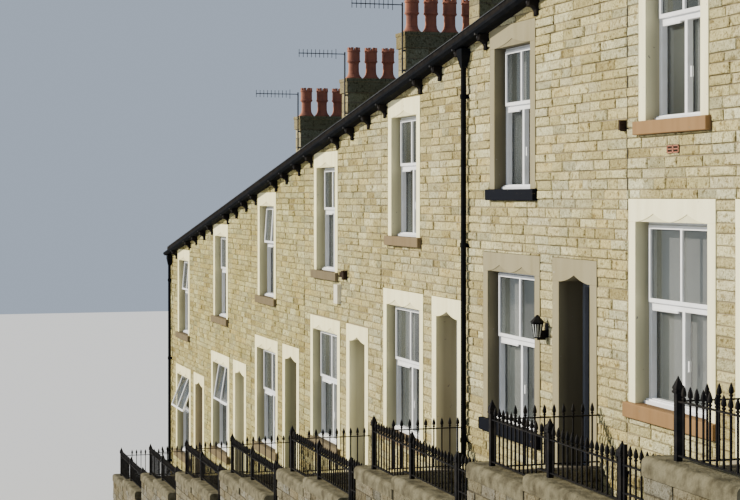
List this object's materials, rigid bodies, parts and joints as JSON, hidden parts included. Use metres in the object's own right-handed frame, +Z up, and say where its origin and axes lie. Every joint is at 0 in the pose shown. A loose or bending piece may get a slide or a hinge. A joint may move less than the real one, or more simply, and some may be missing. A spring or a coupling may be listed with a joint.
{
  "type": "terraced house row",
  "caption": "Row of two-storey stone terraced houses that steps down a steep street under one raked slate roof, with chimneys, railed front yards, gates and hinged doors.",
  "frame": {"origin": "middle of the footprint, at the level of the lowest ground", "axes": "+X uphill along the row, -Y to the street, +Z up"},
  "size_m": [32.47, 10.075, 15.69],
  "materials": {
    "party_piers": "rock-faced sandstone",
    "window_piers": "rock-faced sandstone",
    "window_aprons": "rock-faced sandstone",
    "door_bases": "rock-faced sandstone",
    "storey_walls": "rock-faced sandstone",
    "upper_piers": "rock-faced sandstone",
    "wall_heads": "rock-faced sandstone",
    "party_walls": "brick",
    "end_walls": "rock-faced sandstone",
    "ground_floors": "flagstones",
    "upper_floors": "bare boards",
    "window_jambs": "painted dressed stone",
    "window_lintels": "painted dressed stone",
    "window_sills": "painted dressed stone",
    "door_jambs": "painted dressed stone",
    "door_lintels": "painted dressed stone",
    "door_sills": "worn dressed stone",
    "window_frames": "satin",
    "top_lights": "satin",
    "window_glass": "clear",
    "door_posts": "satin",
    "door_heads": "satin",
    "rear_doors": "satin paint",
    "front_roof_slope": "slates",
    "rear_roof_slope": "slates",
    "chimney_stacks": "smoke-blackened stone",
    "chimney_caps": "smoke-blackened stone",
    "chimney_pots": "unglazed terracotta",
    "ridge_tiles": "unglazed clay",
    "eaves_corbels": "painted dark",
    "gutter_boards": "painted dark",
    "gutters": "satin black",
    "downpipes": "satin black",
    "garden_walls": "rock-faced sandstone",
    "gate_sills": "worn dressed stone",
    "garden_copings": "dressed sandstone",
    "divider_walls": "rock-faced sandstone",
    "street_railings": "black paint",
    "divider_railings": "black paint",
    "air_bricks": "unglazed terracotta",
    "alarm_box": "satin",
    "wall_lantern": "black paint",
    "tv_aerials": "weathered",
    "front_door_1": "satin",
    "gate_1": "black paint",
    "front_door_2": "satin",
    "gate_2": "black paint",
    "front_door_3": "satin",
    "gate_3": "black paint",
    "front_door_4": "satin",
    "gate_4": "black paint",
    "front_door_5": "satin",
    "gate_5": "black paint",
    "front_door_6": "satin",
    "gate_6": "black paint",
    "front_door_7": "satin",
    "gate_7": "black paint"
  },
  "bodies": {
    "terrace": {"party_piers": "party_piers", "window_piers": "window_piers", "window_aprons": "window_aprons", "door_bases": "door_bases", "storey_walls": "storey_walls", "upper_piers": "upper_piers", "wall_heads": "wall_heads", "party_walls": "party_walls", "end_walls": "end_walls", "ground_floors": "ground_floors", "upper_floors": "upper_floors", "window_jambs": "window_jambs", "window_lintels": "window_lintels", "window_sills": "window_sills", "door_jambs": "door_jambs", "door_lintels": "door_lintels", "door_sills": "door_sills", "window_frames": "window_frames", "top_lights": "top_lights", "window_glass": "window_glass", "door_posts": "door_posts", "door_heads": "door_heads", "rear_doors": "rear_doors", "front_roof_slope": "front_roof_slope", "rear_roof_slope": "rear_roof_slope", "chimney_stacks": "chimney_stacks", "chimney_caps": "chimney_caps", "chimney_pots": "chimney_pots", "ridge_tiles": "ridge_tiles", "eaves_corbels": "eaves_corbels", "gutter_boards": "gutter_boards", "gutters": "gutters", "downpipes": "downpipes", "garden_walls": "garden_walls", "gate_sills": "gate_sills", "garden_copings": "garden_copings", "divider_walls": "divider_walls", "street_railings": "street_railings", "divider_railings": "divider_railings", "air_bricks": "air_bricks", "alarm_box": "alarm_box", "wall_lantern": "wall_lantern", "tv_aerials": "tv_aerials"},
    "door_1": {"front_door_1": "front_door_1"},
    "door_2": {"front_door_2": "front_door_2"},
    "door_3": {"front_door_3": "front_door_3"},
    "door_4": {"front_door_4": "front_door_4"},
    "door_5": {"front_door_5": "front_door_5"},
    "door_6": {"front_door_6": "front_door_6"},
    "door_7": {"front_door_7": "front_door_7"},
    "yard_gate_1": {"gate_1": "gate_1"},
    "yard_gate_2": {"gate_2": "gate_2"},
    "yard_gate_3": {"gate_3": "gate_3"},
    "yard_gate_4": {"gate_4": "gate_4"},
    "yard_gate_5": {"gate_5": "gate_5"},
    "yard_gate_6": {"gate_6": "gate_6"},
    "yard_gate_7": {"gate_7": "gate_7"}
  },
  "joints": [
    {"name": "door_1_hinge", "type": "hinge", "parent": "terrace", "child": "door_1", "pos_m": [-12.5475, -3.1775, 1.258], "axis": [0, 0, 1], "range_deg": [0, 90]},
    {"name": "door_2_hinge", "type": "hinge", "parent": "terrace", "child": "door_2", "pos_m": [-8.1475, -3.1775, 1.958], "axis": [0, 0, 1], "range_deg": [0, 90]},
    {"name": "door_3_hinge", "type": "hinge", "parent": "terrace", "child": "door_3", "pos_m": [-3.7475, -3.1775, 2.658], "axis": [0, 0, 1], "range_deg": [0, 90]},
    {"name": "door_4_hinge", "type": "hinge", "parent": "terrace", "child": "door_4", "pos_m": [0.6525, -3.1775, 3.358], "axis": [0, 0, 1], "range_deg": [0, 90]},
    {"name": "door_5_hinge", "type": "hinge", "parent": "terrace", "child": "door_5", "pos_m": [5.0525, -3.1775, 4.058], "axis": [0, 0, 1], "range_deg": [0, 90]},
    {"name": "door_6_hinge", "type": "hinge", "parent": "terrace", "child": "door_6", "pos_m": [9.4525, -3.1775, 4.758], "axis": [0, 0, 1], "range_deg": [0, 90]},
    {"name": "door_7_hinge", "type": "hinge", "parent": "terrace", "child": "door_7", "pos_m": [13.8525, -3.1775, 5.458], "axis": [0, 0, 1], "range_deg": [0, 90]},
    {"name": "yard_gate_1_hinge", "type": "hinge", "parent": "terrace", "child": "yard_gate_1", "pos_m": [-12.56, -4.8215, 0.65], "axis": [0, 0, 1], "range_deg": [0, 90]},
    {"name": "yard_gate_2_hinge", "type": "hinge", "parent": "terrace", "child": "yard_gate_2", "pos_m": [-8.16, -4.8215, 1.35], "axis": [0, 0, 1], "range_deg": [0, 90]},
    {"name": "yard_gate_3_hinge", "type": "hinge", "parent": "terrace", "child": "yard_gate_3", "pos_m": [-3.76, -4.8215, 2.05], "axis": [0, 0, 1], "range_deg": [0, 90]},
    {"name": "yard_gate_4_hinge", "type": "hinge", "parent": "terrace", "child": "yard_gate_4", "pos_m": [0.64, -4.8215, 2.75], "axis": [0, 0, 1], "range_deg": [0, 90]},
    {"name": "yard_gate_5_hinge", "type": "hinge", "parent": "terrace", "child": "yard_gate_5", "pos_m": [5.04, -4.8215, 3.45], "axis": [0, 0, 1], "range_deg": [0, 90]},
    {"name": "yard_gate_6_hinge", "type": "hinge", "parent": "terrace", "child": "yard_gate_6", "pos_m": [9.44, -4.8215, 4.15], "axis": [0, 0, 1], "range_deg": [0, 90]},
    {"name": "yard_gate_7_hinge", "type": "hinge", "parent": "terrace", "child": "yard_gate_7", "pos_m": [13.84, -4.8215, 4.85], "axis": [0, 0, 1], "range_deg": [0, 90]}
  ]
}
